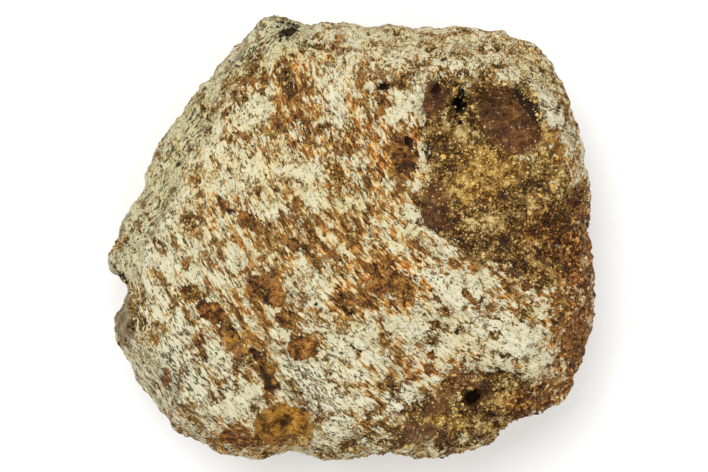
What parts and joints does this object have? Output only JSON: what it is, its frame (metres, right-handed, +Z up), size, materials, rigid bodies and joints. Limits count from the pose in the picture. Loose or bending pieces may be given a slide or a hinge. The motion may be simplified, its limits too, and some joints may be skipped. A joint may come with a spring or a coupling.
{
  "type": "fossil frill section",
  "caption": "Water-worn section of horned-dinosaur frill bone with cemented sand in its hollows, lying on its inner face; a display or teaching specimen",
  "frame": {"origin": "middle of the bounding box, at the resting face", "axes": "+X along the longer side, to the right as the outer face is pictured; +Y to the top of the outer face; +Z up through the thickness"},
  "size_m": [0.08, 0.0732, 0.0336],
  "materials": {
    "fossil_bone": "matt, speckled cream, rust and grey, with sandy matrix"
  },
  "bodies": {
    "root": {"frill_section": "fossil_bone"}
  },
  "joints": []
}
